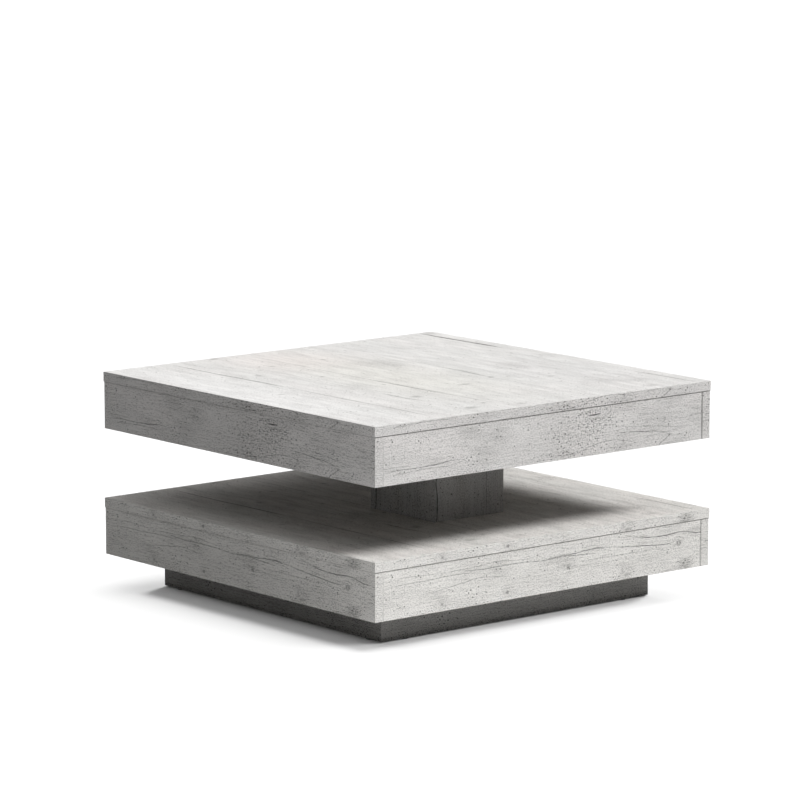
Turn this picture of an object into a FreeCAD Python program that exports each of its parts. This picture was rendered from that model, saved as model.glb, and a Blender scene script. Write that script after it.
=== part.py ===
import FreeCAD, Part
import math
import os

from FreeCAD import Vector

# Swivel coffee table, in millimetres. Two equal board boxes stand one above the other on a set-back
# plinth. The upper box turns on a ball-bearing turntable that a short column carries.
# Origin on the floor under the middle of the boxes, +Z up, -Y the front, -X the left.

# ---- Boards ------------------------------------------------------------------------------------------
TABLE_SIZE = 780.0        # side of the square top board and of the shelf board
BOARD = 18.0              # thickness of every board
BOX_HEIGHT = 104.5        # each box, from the lower edge of its aprons to its upper face
OVERSAIL = 1.0            # the top board and the shelf board stand out this far over their aprons
EDGE_ROUND = 0.5          # rounding of the edge banding

# ---- Heights -----------------------------------------------------------------------------------------
PLINTH_REVEAL = 59.0      # floor to the lower edge of the lower box
STORAGE_GAP = 128.5       # shelf board to the lower edge of the upper box

# ---- Plinth ------------------------------------------------------------------------------------------
PLINTH_INSET = 77.5       # plinth boards, set back from the sides of the table
BRACKET_SPREAD = 400.0    # distance between the two angle brackets on one plinth board
GLIDE_FROM_END = 40.0     # first glide, from the end of a plinth board

# ---- Column ------------------------------------------------------------------------------------------
COLUMN_WIDTH = 160.0      # outside, left to right
COLUMN_DEPTH = 180.0      # outside, front to back
COLUMN_FORWARD = 90.0     # middle of the column, in front of the middle of the table
COLUMN_SCREW_SPREAD = 80.0    # distance between the two long screws in one column panel
MOUNTING_BOARD = 300.0    # side of the square board that carries the turntable's upper plate
MOUNTING_SCREW_INSET = 30.0   # its screws, from its edges

# ---- Turntable ---------------------------------------------------------------------------------------
PLATE_SIZE = 152.0        # side of both square plates
PLATE_SHEET = 1.5         # thickness of the steel sheet
PLATE_CORNER = 8.0        # rounding of the plates' corners
PLATE_HOLE_INSET = 7.0    # screw holes, from the plates' sides
RACE_OUTSIDE = 136.0      # diameter of the raised ring that holds the race
RACE_HOLE = 86.0          # hole in the middle of the lower plate
BALL_CIRCLE = 116.0       # diameter of the circle on which the balls run
BALL_DIAMETER = 4.0
BALL_COUNT = 24
RACE_SPACE = 2.2          # between the two raised rings, which the ball cage fills in part
CAGE_SHEET = 1.0
CAGE_WIDTH = 10.0         # ring of the cage, across
BALL_PLAY = 0.05          # round each ball, in its race
CAGE_PLAY = 0.1           # round each ball, in the cage
LIP_SHEET = 1.1           # rolled rim that keeps the upper plate down on the lower one
LIP_WIDTH = 5.5
LIP_PLAY = 0.4            # above and below the rim
TUBE_PLAY = 1.5           # between the rim's tube and the hole in the lower plate

# ---- Cam joints and dowels ---------------------------------------------------------------------------
CAM_DIAMETER = 15.0
CAM_DEPTH = 12.5
CAM_REACH = 34.0          # middle of the cam, from the edge of its board
CAM_FROM_END = 100.0      # outer cams along an apron, from its end
BOLT_THREAD = 6.0
BOLT_GRIP = 11.0          # thread, into the face of the other board
BOLT_SHAFT = 5.0
BOLT_WAIST = 4.0
BOLT_WAIST_LENGTH = 3.0
BOLT_HEAD = 7.0
BOLT_HEAD_LENGTH = 3.0
BOLT_BORE = 8.0           # bore for the bolt, in the edge of the board that holds the cam
DOWEL_DIAMETER = 8.0
DOWEL_LENGTH = 30.0
DOWEL_GRIP = 12.0         # dowel, into the face of the other board
DOWEL_FROM_CAM = 26.0     # distance between a cam bolt and the dowels beside it
COLUMN_DOWEL_SPREAD = 110.0   # distance between the two dowels in one upright joint of the column

# ---- Screws: diameter, length, head diameter ---------------------------------------------------------
LONG_SCREW = (7.0, 50.0, 10.0)        # one-piece connector, board face into board edge
BOARD_SCREW = (4.0, 30.0, 8.0)        # mounting board to top board
PLATE_SCREW = (4.0, 15.0, 7.0)        # turntable plates
BRACKET_SCREW = (3.5, 14.0, 6.5)      # angle brackets
PAN_HEAD_HEIGHT = 2.0
CROSS_RECESS = 1.2        # depth of the driver recess
CROSS_SLOT = 0.9          # width of its arms

# ---- Angle brackets and glides -----------------------------------------------------------------------
BRACKET_LEG = 28.0
BRACKET_WIDTH = 18.0
BRACKET_SHEET = 2.0
BRACKET_HOLE = 17.0       # screw hole in a leg, from the corner
GLIDE_DIAMETER = 16.0
GLIDE_HEIGHT = 2.0
GLIDE_ROUND = 0.6
NAIL_DIAMETER = 2.0
NAIL_HEAD = 5.0
NAIL_HEAD_HEIGHT = 0.6
NAIL_HEAD_SUNK = 0.5      # nail head above the glide's lower face
NAIL_GRIP = 14.0          # nail, into the edge of the board

# ---- Clearances --------------------------------------------------------------------------------------
HOLE_PLAY = 0.1           # all round a screw, bolt, dowel or cam in its hole
HOLE_DEEPER = 0.5         # blind holes, past the end of what they hold
OVERCUT = 1.0             # cutting tools, past the face they start from

# ---- What follows from the sizes ---------------------------------------------------------------------
SHELF_BASE = PLINTH_REVEAL                         # lower edge of the lower box
SHELF_FACE = SHELF_BASE + BOX_HEIGHT               # upper face of the shelf board
TOP_BASE = SHELF_FACE + STORAGE_GAP                # lower edge of the upper box
TOP_FACE = TOP_BASE + BOX_HEIGHT                   # tabletop
PLINTH_HALF = TABLE_SIZE / 2 - PLINTH_INSET
APRON_HALF = TABLE_SIZE / 2 - OVERSAIL
PLATE_STEP = LIP_SHEET + 2 * LIP_PLAY              # height of the raised ring above its plate's seat
RACE_LOW = PLATE_STEP + PLATE_SHEET                # upper face of the lower plate's raised ring
RACE_MIDDLE = RACE_LOW + RACE_SPACE / 2
TURNTABLE_HEIGHT = 2 * RACE_MIDDLE
PLATE_SEAT = TOP_FACE - 2 * BOARD                  # lower face of the mounting board
CAP_FACE = PLATE_SEAT - TURNTABLE_HEIGHT           # upper face of the column cap
COLUMN_TOP = CAP_FACE - BOARD                      # upper edge of the column panels
AXIS = Vector(0, -COLUMN_FORWARD, 0)               # the upright line on which the upper box turns

RIGHT, BACK, UP = Vector(1, 0, 0), Vector(0, 1, 0), Vector(0, 0, 1)
LEFT, FRONT, DOWN = -RIGHT, -BACK, -UP

boards = {}       # board name: its solid
holes = {}        # board name: the tools that drill it
fittings = {}     # node name: the separate solids in it


# ---- Basic shapes ------------------------------------------------------------------------------------
def block(x, y, z):
    """Box between the low and high values in x, y and z."""
    return Part.makeBox(x[1] - x[0], y[1] - y[0], z[1] - z[0], Vector(x[0], y[0], z[0]))


def board(name, x, y, z):
    """Board with edge banding, its edges slightly rounded."""
    shape = block(x, y, z)
    boards[name] = shape.makeFillet(EDGE_ROUND, shape.Edges)
    holes[name] = []


def turned(outline):
    """Solid turned about Z from (radius, height) pairs."""
    points = [Vector(radius, 0, height) for radius, height in outline]
    face = Part.Face(Part.makePolygon(points + points[:1]))
    return face.revolve(Vector(0, 0, 0), UP, 360)


def rod(diameter, low, high):
    """Cylinder on the Z axis."""
    return Part.makeCylinder(diameter / 2, high - low, Vector(0, 0, low))


def frame_at(origin, into, inside):
    """Local frame of a fitting: Z runs into the board that it enters, X towards the named side."""
    return FreeCAD.Placement(origin, FreeCAD.Rotation(inside, into.cross(inside), into, "ZXY"))


def put(shape, frame):
    """Copy of a shape that was modelled at the origin, placed in a frame."""
    copy = shape.copy()
    copy.Placement = frame
    return copy


def fit(node, shape, frame):
    """Add one placed fitting to its node."""
    fittings.setdefault(node, []).append(put(shape, frame))


def drill(name, tool, frame):
    """Note a hole for one board."""
    holes[name].append(put(tool, frame))


# ---- Cam joints and dowels ---------------------------------------------------------------------------
def cam_bolt():
    """Turned bolt: thread below the joint, shaft, waist and head above it."""
    head_top = CAM_REACH + BOLT_HEAD_LENGTH / 2
    head_low = head_top - BOLT_HEAD_LENGTH
    waist_low = head_low - BOLT_WAIST_LENGTH
    return turned([
        (0, -BOLT_GRIP), (BOLT_THREAD / 2, -BOLT_GRIP), (BOLT_THREAD / 2, 0),
        (BOLT_SHAFT / 2, 0), (BOLT_SHAFT / 2, waist_low),
        (BOLT_WAIST / 2, waist_low), (BOLT_WAIST / 2, head_low),
        (BOLT_HEAD / 2, head_low), (BOLT_HEAD / 2, head_top), (0, head_top),
    ])


def cam_lock():
    """Round cam housing, open to the bolt on one side, with a driver recess in its outer face."""
    low = BOARD / 2 - CAM_DEPTH
    body = Part.makeCylinder(CAM_DIAMETER / 2, CAM_DEPTH, Vector(low, 0, CAM_REACH), RIGHT)
    mouth = rod(BOLT_HEAD + 4 * HOLE_PLAY, CAM_REACH - CAM_DIAMETER, CAM_REACH + BOLT_HEAD / 2)
    recess_x = (BOARD / 2 - 2 * CROSS_RECESS, BOARD / 2 + OVERCUT)
    reach = CAM_DIAMETER / 4
    slot = CROSS_SLOT
    flat = block(recess_x, (-reach, reach), (CAM_REACH - slot, CAM_REACH + slot))
    upright = block(recess_x, (-slot, slot), (CAM_REACH - reach, CAM_REACH + reach))
    return body.cut([mouth, flat, upright])


def cam_edge_hole():
    """Bore for the bolt and pocket for the cam, in the board that is drilled on edge."""
    low = BOARD / 2 - CAM_DEPTH - HOLE_DEEPER
    bore = rod(BOLT_BORE, -OVERCUT, CAM_REACH)
    radius = CAM_DIAMETER / 2 + HOLE_PLAY
    depth = CAM_DEPTH + HOLE_DEEPER + OVERCUT
    pocket = Part.makeCylinder(radius, depth, Vector(low, 0, CAM_REACH), RIGHT)
    return bore.fuse(pocket)


def cam_face_hole():
    """Hole for the bolt's thread, in the face of the other board."""
    return rod(BOLT_THREAD + 2 * HOLE_PLAY, -BOLT_GRIP - HOLE_DEEPER, OVERCUT)


def dowel():
    """Beech dowel with chamfered ends."""
    radius = DOWEL_DIAMETER / 2
    low, high = -DOWEL_GRIP, DOWEL_LENGTH - DOWEL_GRIP
    chamfer = DOWEL_DIAMETER / 8
    return turned([
        (0, low), (radius - chamfer, low), (radius, low + chamfer),
        (radius, high - chamfer), (radius - chamfer, high), (0, high),
    ])


def dowel_hole():
    """Hole for a dowel, in both boards at once."""
    low = -DOWEL_GRIP - HOLE_DEEPER
    return rod(DOWEL_DIAMETER + 2 * HOLE_PLAY, low, DOWEL_LENGTH - DOWEL_GRIP + HOLE_DEEPER)


def cam_joint(group, face_board, edge_board, frame):
    """One cam joint: Z of the frame runs into the edge-drilled board, X to the side the cam shows."""
    fit(group + "_cam_bolts", cam_bolt(), frame)
    fit(group + "_cam_locks", cam_lock(), frame)
    drill(edge_board, cam_edge_hole(), frame)
    drill(face_board, cam_face_hole(), frame)


def dowel_joint(group, face_board, edge_board, frame):
    """One dowel across a joint."""
    fit(group + "_dowels", dowel(), frame)
    drill(edge_board, dowel_hole(), frame)
    drill(face_board, dowel_hole(), frame)


# ---- Screws ------------------------------------------------------------------------------------------
def cross_recess(head, height):
    """Driver recess, cut down from a height into a head that faces -Z."""
    reach = head / 4
    slot = CROSS_SLOT / 2
    z = (height - OVERCUT, height + CROSS_RECESS)
    return [block((-reach, reach), (-slot, slot), z), block((-slot, slot), (-reach, reach), z)]


def countersunk_screw(size):
    """Screw with a flat countersunk head flush at Z 0 and its point up."""
    diameter, length, head = size
    cone = (head - diameter) / 2
    shape = turned([
        (0, 0), (head / 2, 0), (diameter / 2, cone), (diameter / 2, length - diameter),
        (diameter / 8, length), (0, length),
    ])
    return shape.cut(cross_recess(head, 0))


def countersunk_hole(size):
    """Hole for a countersunk screw through both of its boards."""
    diameter, length, head = size
    cone = (head - diameter) / 2
    radius = diameter / 2 + HOLE_PLAY
    return turned([
        (0, -OVERCUT), (head / 2 + HOLE_PLAY, -OVERCUT), (head / 2 + HOLE_PLAY, 0), (radius, cone),
        (radius, length + HOLE_DEEPER), (0, length + HOLE_DEEPER),
    ])


def pan_screw(size):
    """Screw with a raised head that sits on Z 0 and its point up."""
    diameter, length, head = size
    bevel = PAN_HEAD_HEIGHT / 2
    shape = turned([
        (0, -PAN_HEAD_HEIGHT), (head / 2 - bevel, -PAN_HEAD_HEIGHT), (head / 2, -bevel), (head / 2, 0),
        (diameter / 2, 0), (diameter / 2, length - diameter), (diameter / 8, length), (0, length),
    ])
    return shape.cut(cross_recess(head, -PAN_HEAD_HEIGHT))


def pan_hole(size):
    """Hole for the shaft of a raised-head screw."""
    diameter, length, head = size
    return rod(diameter + 2 * HOLE_PLAY, -OVERCUT, length + HOLE_DEEPER)


# ---- Board frames ------------------------------------------------------------------------------------
def four_boards(prefix, half, z):
    """Four upright boards in a square. The side boards run full depth, front and back stand between."""
    inner = half - BOARD
    board(prefix + "_left", (-half, -inner), (-half, half), z)
    board(prefix + "_right", (inner, half), (-half, half), z)
    board(prefix + "_front", (-inner, inner), (-half, -inner), z)
    board(prefix + "_back", (-inner, inner), (inner, half), z)


def join_corners(group, prefix, half, z):
    """A cam joint between two dowels in each of the four corners."""
    inner = half - BOARD
    height = (z[0] + z[1]) / 2
    for side, into in (("_left", RIGHT), ("_right", LEFT)):
        for face, inside in (("_front", BACK), ("_back", FRONT)):
            origin = -inner * into - (half - BOARD / 2) * inside + height * UP
            names = (prefix + side, prefix + face)
            cam_joint(group, *names, frame_at(origin, into, inside))
            for offset in (-DOWEL_FROM_CAM, DOWEL_FROM_CAM):
                dowel_joint(group, *names, frame_at(origin + offset * UP, into, inside))


def join_under(group, prefix, top, half, height):
    """Cam joints and dowels between four upright boards and the board that lies on them."""
    inner = half - BOARD
    rows = (
        ("_left", RIGHT, half), ("_right", LEFT, half),
        ("_front", BACK, inner), ("_back", FRONT, inner),
    )
    for side, inside, reach in rows:
        along = inside.cross(UP)
        start = -(half - BOARD / 2) * inside + height * UP
        for offset in (CAM_FROM_END - reach, 0, reach - CAM_FROM_END):
            origin = start + offset * along
            cam_joint(group, top, prefix + side, frame_at(origin, DOWN, inside))
            beside = origin + DOWEL_FROM_CAM * along
            dowel_joint(group, top, prefix + side, frame_at(beside, DOWN, inside))


def box(name, apron, group, base):
    """One of the two boxes, open below: a board on four aprons."""
    half = TABLE_SIZE / 2
    face = base + BOX_HEIGHT
    board(name, (-half, half), (-half, half), (face - BOARD, face))
    four_boards(apron, APRON_HALF, (base, face - BOARD))
    join_corners(group, apron, APRON_HALF, (base, face - BOARD))
    join_under(group, apron, name, APRON_HALF, face - BOARD)


# ---- Plinth ------------------------------------------------------------------------------------------
def angle_bracket():
    """Steel angle: one leg under the shelf, one leg down the plinth board, a screw hole in each."""
    width = (-BRACKET_WIDTH / 2, BRACKET_WIDTH / 2)
    under = block((0, BRACKET_LEG), width, (0, BRACKET_SHEET))
    down = block((0, BRACKET_SHEET), width, (0, BRACKET_LEG))
    holes_in_it = [put(pan_hole(BRACKET_SCREW), frame) for frame in bracket_screw_frames()]
    return under.fuse(down).removeSplitter().cut(holes_in_it)


def bracket_screw_frames():
    """Seats of the bracket's two screws: up into the shelf and out into the plinth board."""
    up = frame_at(Vector(BRACKET_HOLE, 0, BRACKET_SHEET), DOWN, RIGHT)
    out = frame_at(Vector(BRACKET_SHEET, 0, BRACKET_HOLE), LEFT, UP)
    return [up, out]


def brackets():
    """Two angle brackets on each plinth board, under the shelf."""
    inner = PLINTH_HALF - BOARD
    for side, inside in (("_left", RIGHT), ("_right", LEFT), ("_front", BACK), ("_back", FRONT)):
        along = inside.cross(UP)
        for offset in (-BRACKET_SPREAD / 2, BRACKET_SPREAD / 2):
            origin = -inner * inside + offset * along + (SHELF_FACE - BOARD) * UP
            corner = frame_at(origin, DOWN, inside)
            fit("plinth_brackets", angle_bracket(), corner)
            for name, seat in zip(("shelf_board", "plinth" + side), bracket_screw_frames()):
                fit("bracket_screws", pan_screw(BRACKET_SCREW), corner.multiply(seat))
                drill(name, pan_hole(BRACKET_SCREW), corner.multiply(seat))


def plinth():
    """Four plinth boards up to the shelf, and a rail between them under the column."""
    z = (GLIDE_HEIGHT, SHELF_FACE - BOARD)
    inner = PLINTH_HALF - BOARD
    four_boards("plinth", PLINTH_HALF, z)
    join_corners("plinth", "plinth", PLINTH_HALF, z)
    middle = -COLUMN_FORWARD
    board("plinth_rail", (-inner, inner), (middle - BOARD / 2, middle + BOARD / 2), z)
    for side, into in (("plinth_left", RIGHT), ("plinth_right", LEFT)):
        origin = AXIS - inner * into + (z[0] + z[1]) / 2 * UP
        cam_joint("plinth", side, "plinth_rail", frame_at(origin, into, BACK))
        for offset in (-DOWEL_FROM_CAM, DOWEL_FROM_CAM):
            dowel_joint("plinth", side, "plinth_rail", frame_at(origin + offset * UP, into, BACK))
    brackets()


def glide():
    """Round plastic glide with a countersink for its nail."""
    shape = rod(GLIDE_DIAMETER, 0, GLIDE_HEIGHT)
    rim = [edge for edge in shape.Edges if edge.BoundBox.ZMax < GLIDE_HEIGHT / 2]
    shape = shape.makeFillet(GLIDE_ROUND, rim)
    seat = NAIL_HEAD_SUNK + NAIL_HEAD_HEIGHT
    sink = rod(NAIL_HEAD + 2 * HOLE_PLAY, -OVERCUT, seat)
    bore = rod(NAIL_DIAMETER + 2 * HOLE_PLAY, 0, GLIDE_HEIGHT + OVERCUT)
    return shape.cut([sink, bore])


def nail():
    """Flat-headed nail, point up."""
    low = NAIL_HEAD_SUNK
    seat = low + NAIL_HEAD_HEIGHT
    high = GLIDE_HEIGHT + NAIL_GRIP
    radius = NAIL_DIAMETER / 2
    return turned([
        (0, low), (NAIL_HEAD / 2, low), (NAIL_HEAD / 2, seat), (radius, seat),
        (radius, high - NAIL_DIAMETER), (0, high),
    ])


def glides():
    """Glides under the ends of the plinth boards and under the middle of the rail."""
    middle = PLINTH_HALF - BOARD / 2
    long_reach = PLINTH_HALF - GLIDE_FROM_END
    short_reach = PLINTH_HALF - BOARD - GLIDE_FROM_END
    places = [("plinth_rail", AXIS)]
    for sign in (-1, 1):
        places.append(("plinth_left", Vector(-middle, sign * long_reach, 0)))
        places.append(("plinth_right", Vector(middle, sign * long_reach, 0)))
        places.append(("plinth_front", Vector(sign * short_reach, -middle, 0)))
        places.append(("plinth_back", Vector(sign * short_reach, middle, 0)))
    for name, place in places:
        frame = frame_at(place, UP, RIGHT)
        fit("glides", glide(), frame)
        fit("glide_nails", nail(), frame)
        drill(name, rod(NAIL_DIAMETER + 2 * HOLE_PLAY, 0, GLIDE_HEIGHT + NAIL_GRIP + HOLE_DEEPER), frame)


# ---- Column ------------------------------------------------------------------------------------------
def column():
    """Four panels: front and back run the full width, the sides stand between. A cap lies on them."""
    half_x = COLUMN_WIDTH / 2
    half_y = COLUMN_DEPTH / 2
    z = (SHELF_FACE, COLUMN_TOP)
    front, back = -COLUMN_FORWARD - half_y, -COLUMN_FORWARD + half_y
    width = (-half_x, half_x)
    between = (front + BOARD, back - BOARD)
    board("column_front", width, (front, front + BOARD), z)
    board("column_back", width, (back - BOARD, back), z)
    board("column_left", (-half_x, BOARD - half_x), between, z)
    board("column_right", (half_x - BOARD, half_x), between, z)
    board("column_cap", width, (front, back), (COLUMN_TOP, CAP_FACE))
    column_corners(half_x - BOARD / 2, half_y - BOARD, (z[0] + z[1]) / 2)
    column_ends(half_x - BOARD / 2, half_y - BOARD / 2)


def column_corners(side, depth, height):
    """Upright joints of the column: a cam joint between two dowels in each."""
    for name, inside in (("column_left", RIGHT), ("column_right", LEFT)):
        for face, into in (("column_front", BACK), ("column_back", FRONT)):
            origin = AXIS - side * inside - depth * into + height * UP
            cam_joint("column", face, name, frame_at(origin, into, inside))
            for offset in (-COLUMN_DOWEL_SPREAD / 2, COLUMN_DOWEL_SPREAD / 2):
                dowel_joint("column", face, name, frame_at(origin + offset * UP, into, inside))


def column_ends(side, depth):
    """Two long screws into each end of each panel: up through the shelf and down through the cap."""
    panels = (
        ("column_left", -side * RIGHT, BACK), ("column_right", side * RIGHT, BACK),
        ("column_front", -depth * BACK, RIGHT), ("column_back", depth * BACK, RIGHT),
    )
    ends = (
        ("shelf_column_screws", "shelf_board", SHELF_FACE - BOARD, UP),
        ("cap_screws", "column_cap", CAP_FACE, DOWN),
    )
    for panel, centre, along in panels:
        for offset in (-COLUMN_SCREW_SPREAD / 2, COLUMN_SCREW_SPREAD / 2):
            for node, through, height, into in ends:
                frame = frame_at(AXIS + centre + offset * along + height * UP, into, RIGHT)
                fit(node, countersunk_screw(LONG_SCREW), frame)
                drill(through, countersunk_hole(LONG_SCREW), frame)
                drill(panel, countersunk_hole(LONG_SCREW), frame)


def mounting_board():
    """Square board under the top board, screwed up into it, for the turntable's upper plate."""
    half = MOUNTING_BOARD / 2
    y = (-COLUMN_FORWARD - half, -COLUMN_FORWARD + half)
    board("mounting_board", (-half, half), y, (PLATE_SEAT, PLATE_SEAT + BOARD))
    reach = half - MOUNTING_SCREW_INSET
    spots = [(x, y) for x in (-reach, 0, reach) for y in (-reach, 0, reach) if x or y]
    for x, y in spots:
        frame = frame_at(AXIS + Vector(x, y, PLATE_SEAT), UP, RIGHT)
        fit("mounting_board_screws", countersunk_screw(BOARD_SCREW), frame)
        drill("mounting_board", countersunk_hole(BOARD_SCREW), frame)
        drill("top_board", countersunk_hole(BOARD_SCREW), frame)


# ---- Turntable, modelled with its lower face at Z 0 --------------------------------------------------
def plate_square(low):
    """Flat square part of a plate, with rounded corners and four screw holes, open inside the race."""
    half = PLATE_SIZE / 2
    sheet = block((-half, half), (-half, half), (low, low + PLATE_SHEET))
    corners = [edge for edge in sheet.Edges if edge.BoundBox.ZLength > PLATE_SHEET / 2]
    sheet = sheet.makeFillet(PLATE_CORNER, corners)
    inside = rod(RACE_OUTSIDE, low - OVERCUT, low + PLATE_SHEET + OVERCUT)
    return sheet.cut([inside] + [put(pan_hole(PLATE_SCREW), frame) for frame in plate_seats(low, UP)])


def plate_seats(height, into):
    """Seats of a plate's four screws."""
    reach = PLATE_SIZE / 2 - PLATE_HOLE_INSET
    return [frame_at(Vector(x, y, height), into, RIGHT) for x in (-reach, reach) for y in (-reach, reach)]


def race_groove():
    """Ring in which the balls run, cut out of both plates."""
    return Part.makeTorus(BALL_CIRCLE / 2, BALL_DIAMETER / 2 + BALL_PLAY, Vector(0, 0, RACE_MIDDLE))


def lower_plate():
    """Square plate whose middle is pressed up into a ring with the lower race."""
    outside, hole = RACE_OUTSIDE / 2, RACE_HOLE / 2
    ring = turned([
        (hole, PLATE_STEP), (hole, RACE_LOW), (outside, RACE_LOW), (outside, 0),
        (outside - PLATE_SHEET, 0), (outside - PLATE_SHEET, PLATE_STEP),
    ])
    return plate_square(0).fuse(ring).removeSplitter().cut(race_groove())


def upper_plate():
    """Square plate with the upper race, and a tube whose rolled rim hooks under the lower plate."""
    outside = RACE_OUTSIDE / 2
    tube = RACE_HOLE / 2 - TUBE_PLAY
    bore = tube - PLATE_SHEET
    race = RACE_MIDDLE + RACE_SPACE / 2
    ring = turned([
        (bore, LIP_PLAY), (tube + LIP_WIDTH, LIP_PLAY), (tube + LIP_WIDTH, LIP_PLAY + LIP_SHEET),
        (tube, LIP_PLAY + LIP_SHEET), (tube, race), (outside, race), (outside, TURNTABLE_HEIGHT),
        (outside - PLATE_SHEET, TURNTABLE_HEIGHT), (outside - PLATE_SHEET, race + PLATE_SHEET),
        (bore, race + PLATE_SHEET),
    ])
    square = plate_square(TURNTABLE_HEIGHT - PLATE_SHEET)
    return square.fuse(ring).removeSplitter().cut(race_groove())


def ball_places():
    """Middles of the balls, evenly round the race."""
    turns = [2 * math.pi * ball / BALL_COUNT for ball in range(BALL_COUNT)]
    radius = BALL_CIRCLE / 2
    return [Vector(radius * math.cos(turn), radius * math.sin(turn), RACE_MIDDLE) for turn in turns]


def ball_cage():
    """Flat ring with a round window for each ball."""
    low, high = RACE_MIDDLE - CAGE_SHEET / 2, RACE_MIDDLE + CAGE_SHEET / 2
    ring = rod(BALL_CIRCLE + CAGE_WIDTH, low, high).cut(rod(BALL_CIRCLE - CAGE_WIDTH, low, high))
    radius = BALL_DIAMETER / 2 + CAGE_PLAY
    return ring.cut([Part.makeCylinder(radius, BALL_DIAMETER, place - BALL_DIAMETER / 2 * UP)
                     for place in ball_places()])


def turntable():
    """Ball-bearing turntable. The upper plate is turned an eighth, so its screws clear the column."""
    straight = FreeCAD.Placement(AXIS + CAP_FACE * UP, FreeCAD.Rotation())
    eighth = FreeCAD.Placement(AXIS + CAP_FACE * UP, FreeCAD.Rotation(UP, 45))
    fit("turntable_lower_plate", lower_plate(), straight)
    fit("turntable_upper_plate", upper_plate(), eighth)
    fit("turntable_ball_cage", ball_cage(), straight)
    for place in ball_places():
        ball = Part.makeSphere(BALL_DIAMETER / 2)
        fit("turntable_balls", ball, straight.multiply(FreeCAD.Placement(place, FreeCAD.Rotation())))
    for seat in plate_seats(PLATE_SHEET, DOWN):
        fit("lower_plate_screws", pan_screw(PLATE_SCREW), straight.multiply(seat))
        drill("column_cap", pan_hole(PLATE_SCREW), straight.multiply(seat))
    for seat in plate_seats(TURNTABLE_HEIGHT - PLATE_SHEET, UP):
        fit("upper_plate_screws", pan_screw(PLATE_SCREW), eighth.multiply(seat))
        drill("mounting_board", pan_hole(PLATE_SCREW), eighth.multiply(seat))


# ---- The table ---------------------------------------------------------------------------------------
def build():
    """Model every piece, drill the boards and write one file for each node."""
    box("top_board", "top_apron", "top", TOP_BASE)
    box("shelf_board", "shelf_apron", "shelf", SHELF_BASE)
    plinth()
    glides()
    column()
    mounting_board()
    turntable()
    os.makedirs("parts", exist_ok=True)
    for name, shape in boards.items():
        write(name, shape.cut(holes[name]).Solids)
    for name, solids in fittings.items():
        write(name, solids)


def write(name, solids):
    """Write the solids of one node."""
    shape = solids[0] if len(solids) == 1 else Part.makeCompound(solids)
    shape.exportStep("parts/" + name + ".step")
    low, high = shape.BoundBox.ZMin, shape.BoundBox.ZMax
    print(f"{name:24} {len(solids):3} solids, {shape.Volume / 1000:9.1f} cm3, z {low:.1f} to {high:.1f}")


build()
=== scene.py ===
# %% [markdown]
# # A swivel coffee table in whitewashed pine decor
#
# The table is flat-pack furniture: 18 mm chipboard faced with printed melamine paper. Two shallow boxes
# stand one above the other, and the upper one turns on a ball-bearing turntable. The construction comes
# from CAD as a fixed frame, so this lesson is about the finish. Every board is a plain slab, and all
# that the eye enjoys is in the print: planks, grain, cracks, knots, worm holes and a thin white wash.

# %% Load the frame
from math import radians

import bpy
import numpy as np
from mathutils import Matrix, Vector


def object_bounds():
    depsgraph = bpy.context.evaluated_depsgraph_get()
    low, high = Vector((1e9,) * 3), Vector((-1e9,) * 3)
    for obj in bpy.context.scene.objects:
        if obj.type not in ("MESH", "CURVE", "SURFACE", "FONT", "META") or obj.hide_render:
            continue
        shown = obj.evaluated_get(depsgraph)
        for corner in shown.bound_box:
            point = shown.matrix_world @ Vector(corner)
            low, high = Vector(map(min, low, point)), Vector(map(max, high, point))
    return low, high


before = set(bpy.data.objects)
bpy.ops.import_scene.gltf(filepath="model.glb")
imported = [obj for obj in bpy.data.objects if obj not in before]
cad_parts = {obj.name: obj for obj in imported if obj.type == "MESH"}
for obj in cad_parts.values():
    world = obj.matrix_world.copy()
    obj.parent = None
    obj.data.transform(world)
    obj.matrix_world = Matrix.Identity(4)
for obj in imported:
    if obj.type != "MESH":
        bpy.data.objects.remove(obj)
cad_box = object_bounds()
table_size = [round(v, 4) for v in cad_box[1] - cad_box[0]]
print("boards and fittings:", len(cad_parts), "size (m):", table_size)

# %% [markdown]
# ## Camera
#
# Catalogue pictures of low tables are taken from far away with a long lens, a little above the tabletop.
# That keeps upright edges parallel and shows the top as a narrow lozenge. A long lens from eight metres
# gives the same picture without any correction afterwards.

# %% The camera
CAMERA_PLACE = (-4.9524, -5.968, 1.6278)   # metres
CAMERA_TURN = -39.618                      # degrees about the upright axis
CAMERA_DIP = 9.338                         # degrees below the horizon
CAMERA_LENS = 195.51                       # millimetres
SENSOR_WIDTH = 36                          # millimetres
FAR_CLIP = 100                             # metres

camera = bpy.data.objects.new("camera", bpy.data.cameras.new("camera"))
camera.data.lens = CAMERA_LENS
camera.data.sensor_width = SENSOR_WIDTH
camera.data.clip_end = FAR_CLIP
camera.location = CAMERA_PLACE
camera.rotation_euler = (radians(90 - CAMERA_DIP), 0, radians(CAMERA_TURN))
bpy.context.collection.objects.link(camera)
bpy.context.scene.camera = camera
print("camera:", CAMERA_LENS, "mm lens,", round(Vector(CAMERA_PLACE).length, 2), "m away")

# %% [markdown]
# ## Helpers
#
# Shader networks are long lists of small steps, so one function adds a node, fills its sockets and links
# it. Colours are written as a painter would, as hex codes of what the eye sees. The renderer adds light
# in linear values, so one function turns the codes. Patterns are drawn in millimetres, as a ruler gives
# them, so one function turns an object's own metres into those.


# %% Helpers for shader nodes and colours
MM = (1000, 1000, 1000)   # millimetres in a metre, for each axis
HALF_WAY = 0.5            # a face looks along an axis where that part of its normal is above this


def linear(code):
    """Linear RGBA of an sRGB hex code such as #dcdad5."""
    srgb = np.array([int(code[i:i + 2], 16) for i in (1, 3, 5)]) / 255
    low, high = srgb / 12.92, ((srgb + 0.055) / 1.055) ** 2.4
    return (*np.where(srgb <= 0.04045, low, high), 1.0)


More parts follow.
